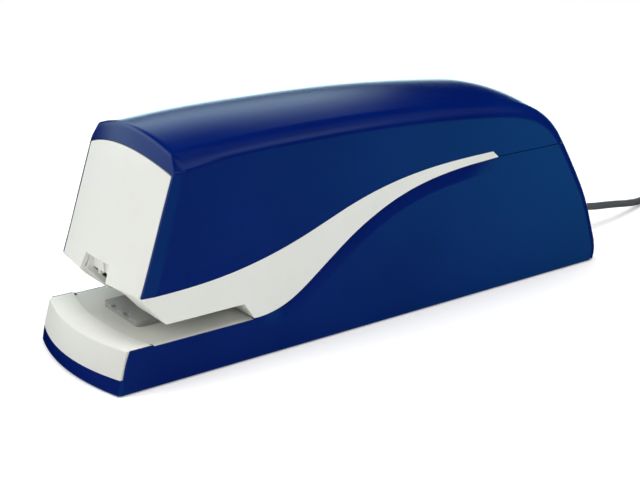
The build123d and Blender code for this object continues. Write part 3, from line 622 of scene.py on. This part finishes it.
# flat side between an upper and a lower line, ruled upright: P(s, t) = lower + (upper - lower) t
def ruledSide(upper, lower, steps, x, scoop=None):
    t = np.linspace(0, 1, steps + 1) if scoop is None else scoop["rows"]
    spots = lower[:, None] + (upper - lower)[:, None] * (t if t.ndim > 1 else t[None])[..., None]
    out = np.full(spots.shape[:2], x)
    if scoop is not None:
        away = (upper[:, None, 1] - spots[..., 1]) * scoop["lean"][:, None]
        out = out - np.sign(x) * scoop["depth"][:, None] * np.clip(1 - away / form["scoopWidth"], 0, 1) ** 1.15
    return np.dstack([out, spots])


# top cover: crowned roof, frame round the front opening, two flat sides
def makeTopCover():
    bow = form["plateCrown"] - form["plateShoulder"]
    flatHalf = form["half"] - form["faceEdge"]
    opening = form["plateShoulder"] + bow * np.clip(1 - (dense[0, :, 0] / flatHalf) ** 2, 0, 1)
    shelf = rowAt(dense, form["plateShoulder"], 0, crestRow, True)
    start = rowAt(dense, opening, 0, crestRow, True)
    start[:faceLeft + 1] = shelf[faceLeft]
    start[faceRight:] = shelf[faceRight]
    foot = rowAt(dense, form["plateFoot"], 0, crestRow, True)
    foot[:] = foot[faceLeft]
    end = rowAt(dense, form["parting"], crestRow + 300, lastRow, False)
    over = cutRows(dense, start, crestRow - 12, 12)
    bend = cutRows(dense, crestRow - 12, crestRow + 12, 12)
    roof = cutRows(dense, crestRow + 12, end, 150)
    bands = [cutRows(dense[:, :faceLeft + 1], foot[:faceLeft + 1], start[:faceLeft + 1], 30),
             cutRows(dense[:, faceRight:], foot[faceRight:], start[faceRight:], 30)]
    grids = [over, bend, roof, *bands]
    for band, column in ((bands[0], 0), (bands[1], -1)):
        border = np.vstack([band[:, column], over[1:, column], bend[1:, column], roof[1:, column]])
        station = np.maximum.accumulate(border[:, 1])
        cut = np.where(station < form["bandTip"], cutHeight(form["bandUpper"], station), form["parting"])
        lower = np.column_stack([station, cut])
        tip = np.argmin(np.abs(station - form["bandTip"]))
        lower[tip] = form["bandUpper"][-1]
        lower[tip + 1:][lower[tip + 1:, 0] < form["bandEnd"]] = (form["bandEnd"], 56.9)
        lower[:, 1] = np.minimum(lower[:, 1], border[:, 2])
        lower[0], lower[-1] = border[0, 1:], border[-1, 1:]
        grids.append(ruledSide(border[:, 1:], lower, 6, border[-1, 0]))
    cover = meshOf("topShell", grids)
    return thicken(cover, form["wall"])


topShell = makeTopCover()
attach(topShell, "housing")
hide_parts("top_cover")


# lower shells: lip, tail and a side with a scooped edge under the white band, split at the middle
def makeLowerShell(side):
    middle = edgeSteps + midSteps // 2
    columns = slice(0, middle + 1) if side < 0 else slice(middle, columnCount)
    part = dense[:, columns]
    edge = 0 if side < 0 else -1
    floorRow = rowAt(part, form["bottom"], 0, crestRow, True)
    lipRow = rowAt(part, form["lip"], 0, crestRow, True)
    lip = cutRows(part, floorRow, lipRow, 8)
    top = rowAt(part, form["parting"] - form["gap"], crestRow + 300, lastRow, False)
    toe = rowAt(part, form["bottom"], lastRow - 100, lastRow, False)
    tail = cutRows(part, top, toe, 60)
    brow = rowAt(part[:, [edge]], form["deck"], 0, crestRow, True)
    cheek = cutRows(part[:, [edge]], lipRow[[edge]], brow, 6)[:, 0]
    deckEnd = form["bandLower"][0][0]
    along = np.arange(cheek[-1, 1] + 1.5, deckEnd, 1.6)
    sunk = form["deck"] - form["deckStep"]
    deckLine = np.column_stack([along, np.where(along < form["stepAtSide"], form["deck"], sunk) - 0.05])
    curve = np.linspace(deckEnd, form["bandEnd"], 110)
    curveLine = np.column_stack([curve, cutHeight(form["bandLower"], curve) - form["gap"]])
    curveLine[0, 1] = sunk - 0.05
    backStation = np.linspace(form["bandEnd"], tail[0, edge, 1], 24)[1:-1]
    backLine = np.column_stack([backStation, np.full(len(backStation), form["parting"] - form["gap"])])
    upper = np.vstack([lip[:, edge, 1:], cheek[1:, 1:], deckLine, curveLine, backLine, tail[:, edge, 1:]])
    last = tail[-1, edge, 1]
    ahead = np.minimum(np.maximum.accumulate(upper[:, 0]), last)
    lower = np.column_stack([ahead, np.full(len(upper), form["bottom"])])
    lower[0], lower[-1] = upper[0], upper[-1]
    slope = np.gradient(upper[:, 1]) / np.maximum(np.abs(np.gradient(upper[:, 0])), 0.05)
    lean = 1 / np.sqrt(1 + slope ** 2)
    tall = np.maximum(upper[:, 1] - lower[:, 1], 1e-6)
    wide = form["scoopWidth"] / lean
    fraction = np.array([0, 0.14, 0.28, 0.42, 0.56, 0.7, 0.82, 0.92, 1.0, 1.08])
    scooped = np.clip(1 - fraction[None] * (wide / tall)[:, None], 0.02, 1)
    rest = scooped[:, -1:] * np.linspace(1, 0, 6)[1:][None]
    rows = np.hstack([scooped, rest])[:, ::-1]
    scoopIn, scoopOut = form["scoopEnds"]
    depth = form["scoopDepth"] * smoothStep(upper[:, 0], *scoopIn) * (1 - smoothStep(upper[:, 0], *scoopOut))
    depth[upper[:, 0] > form["bandEnd"]] = 0
    scoop = {"rows": rows, "lean": lean, "depth": depth}
    flank = ruledSide(upper, lower, 0, part[lastRow // 2, edge, 0], scoop)
    shell = meshOf("lowerShellLeft" if side < 0 else "lowerShellRight", [lip, tail, flank])
    return thicken(shell, form["wall"], 0.25)


for side, cadNode in ((-1, "base_shell_left"), (1, "base_shell_right")):
    shell = makeLowerShell(side)
    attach(shell, "housing")
    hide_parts(cadNode)
print("shells made")


# a CAD piece with eased edges: a welded copy, flats dissolved, corners bevelled
def easedCopy(node, name, width, body, finish=None, angle=30):
    thing = nodes[node].copy()
    thing.data = nodes[node].data.copy()
    for key in list(thing.keys()):
        del thing[key]
    thing.name = name
    thing.parent = None
    bpy.context.scene.collection.objects.link(thing)
    weld = bmesh.new()
    weld.from_mesh(thing.data)
    bmesh.ops.remove_doubles(weld, verts=weld.verts, dist=1e-6)
    bmesh.ops.dissolve_limit(weld, angle_limit=radians(1.0), verts=weld.verts, edges=weld.edges)
    for line in weld.edges:
        line.smooth = len(line.link_faces) == 2 and line.calc_face_angle(0) < radians(angle)
    for face in weld.faces:
        face.smooth = True
    weld.to_mesh(thing.data)
    weld.free()
    soft = thing.modifiers.new("ease", "BEVEL")
    soft.width, soft.segments = width * mm, 2
    soft.limit_method, soft.angle_limit = "ANGLE", radians(angle)
    soft.use_clamp_overlap = True
    weighted = thing.modifiers.new("tidyNormals", "WEIGHTED_NORMAL")
    weighted.keep_sharp = False
    if finish:
        thing.data.materials.clear()
        thing.data.materials.append(finishes[finish])
    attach(thing, body)
    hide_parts(node)
    return thing


easedCopy("inner_housing", "whiteBand", 0.25, "housing")
easedCopy("front_cover", "frontPlate", 0.3, "drawer")
easedCopy("base_plate", "paperDeck", 0.35, "housing", "deckPlastic")
easedCopy("anvil", "anvilPlate", 0.15, "housing", "greyAnvil")
easedCopy("magazine_nose", "noseBlock", 0.2, "drawer")
print("white pieces eased")


# pale floor, lit a little from within so that it stays white up to the horizon
floorLook = {"tints": (0.93, 0.95), "scale": 3.0, "roughness": 0.9, "glow": 0.22}


def makeFloor():
    half = studio["floorHalf"]
    mesh = bpy.data.meshes.new("floor")
    corners = [(-half, -half, 0), (half, -half, 0), (half, half, 0), (-half, half, 0)]
    mesh.from_pydata(corners, [], [(0, 1, 2, 3)])
    floor = bpy.data.objects.new("floor", mesh)
    bpy.context.scene.collection.objects.link(floor)
    floor.visible_glossy = False
    material = bpy.data.materials.new("palePaper")
    material.use_nodes = True
    tree = material.node_tree
    start = Flow(tree, tree.nodes.new("ShaderNodeTexCoord").outputs["Object"])
    shader = tree.nodes["Principled BSDF"]
    shader.inputs["Roughness"].default_value = floorLook["roughness"]
    shader.inputs["Specular IOR Level"].default_value = 0.0
    shader.inputs["Emission Color"].default_value = (1, 1, 1, 1)
    shader.inputs["Emission Strength"].default_value = floorLook["glow"]
    first, second = floorLook["tints"]
    tint = start.noise(floorLook["scale"]).blend(rgb(first, first, first), rgb(second, second, second))
    tree.links.new(tint.socket, shader.inputs["Base Color"])
    mesh.materials.append(material)


# what glossy faces mirror, by direction: soft panels over the roof, behind, at the front left and rear right,
# and a wash along the sides that grows to the rear
sky = {
    "roofRise": (0.18, 0.34), "roofFall": (0.45, 0.68), "roofRear": (0.58, 0.66), "roofLevel": 0.38,
    "behind": (-0.75, 0.66, -0.08), "behindEdge": (0.9, 0.97), "behindFall": (0.02, 0.1), "behindLevel": 1.5,
    "front": (-0.77, -0.63, 0.09), "frontEdge": (0.8, 0.95), "frontRise": (-0.02, 0.06), "frontLevel": 0.42,
    "rear": (0.53, 0.56, 0.64), "rearEdge": (0.9, 0.98), "rearLevel": 0.09,
    "panelColour": (2.9, 4.0, 4.1),
    "sideStart": (0.5, 0.62), "sideFall": (-0.18, -0.06), "washAlong": (0.45, 0.76), "washUp": (-0.42, -0.27),
    "edgeAlong": (0.3, 0.42), "edgeLevel": 0.45,
    "sideColour": (0.1, 1.6, 1.9),
    "fillLow": (0.37, 0.37, 0.37), "fillHigh": (0.48, 0.48, 0.48),
}


def makeSky():
    world = bpy.data.worlds.new("studioSky")
    world.use_nodes = True
    tree = world.node_tree
    tree.nodes.clear()
    start = Flow(tree, tree.nodes.new("ShaderNodeTexCoord").outputs["Generated"])
    up, along = start.axis("Z"), start.axis("Y")
    paths = tree.nodes.new("ShaderNodeLightPath")
    seen = Flow(tree, paths.outputs["Is Camera Ray"])
    gloss = Flow(tree, paths.outputs["Is Glossy Ray"])

    def window(panel):
        facing = start.make("VectorMath", {"operation": "DOT_PRODUCT"}, {0: start, 1: sky[panel]}, 1)
        return facing.between(*sky[panel + "Edge"])

    roof = up.between(*sky["roofRise"]) * (1 - up.between(*sky["roofFall"]))
    roof = roof * (1 - along.between(*sky["roofRear"]))
    behind = window("behind") * (1 - up.between(*sky["behindFall"]))
    front = window("front") * up.between(*sky["frontRise"])
    level = roof * sky["roofLevel"] + behind * sky["behindLevel"] + front * sky["frontLevel"]
    level = level + window("rear") * sky["rearLevel"]
    mirrored = level.blend(rgb(0, 0, 0), rgb(*sky["panelColour"]))
    sideways = start.axis("X").between(*sky["sideStart"]) * (1 - up.between(*sky["sideFall"]))
    wash = (0.1 + along.between(*sky["washAlong"]) * 0.9) * (0.1 + up.between(*sky["washUp"]) * 0.9)
    nearEdge = (1 - along.between(*sky["edgeAlong"])) * sky["edgeLevel"]
    mirrored = (sideways * (wash + nearEdge)).blend(mirrored, rgb(*sky["sideColour"]))
    fill = up.between(-0.3, 1.0).blend(rgb(*sky["fillLow"]), rgb(*sky["fillHigh"]))
    colour = seen.blend(gloss.blend(fill, mirrored), rgb(1, 1, 1))
    output = tree.nodes.new("ShaderNodeOutputWorld")
    background = start.make("Background", None, {0: colour, 1: 1.0})
    tree.links.new(background.socket, output.inputs[0])
    bpy.context.scene.world = world


makeFloor()
makeSky()
softBox("keyBox", (-0.7, -1.1, 1.0), (0, 0, 0.04), 0.9, 0.9, 6)
softBox("topBox", (0.1, 0.1, 1.4), (0, 0.0, 0.04), 0.5, 1.2, 12)
softBox("sideBox", (0.7, 0.75, 0.6), (0, 0.06, 0.05), 0.6, 0.5, 0.6)
bpy.context.scene.view_settings.view_transform = "Standard"
print("studio lit")
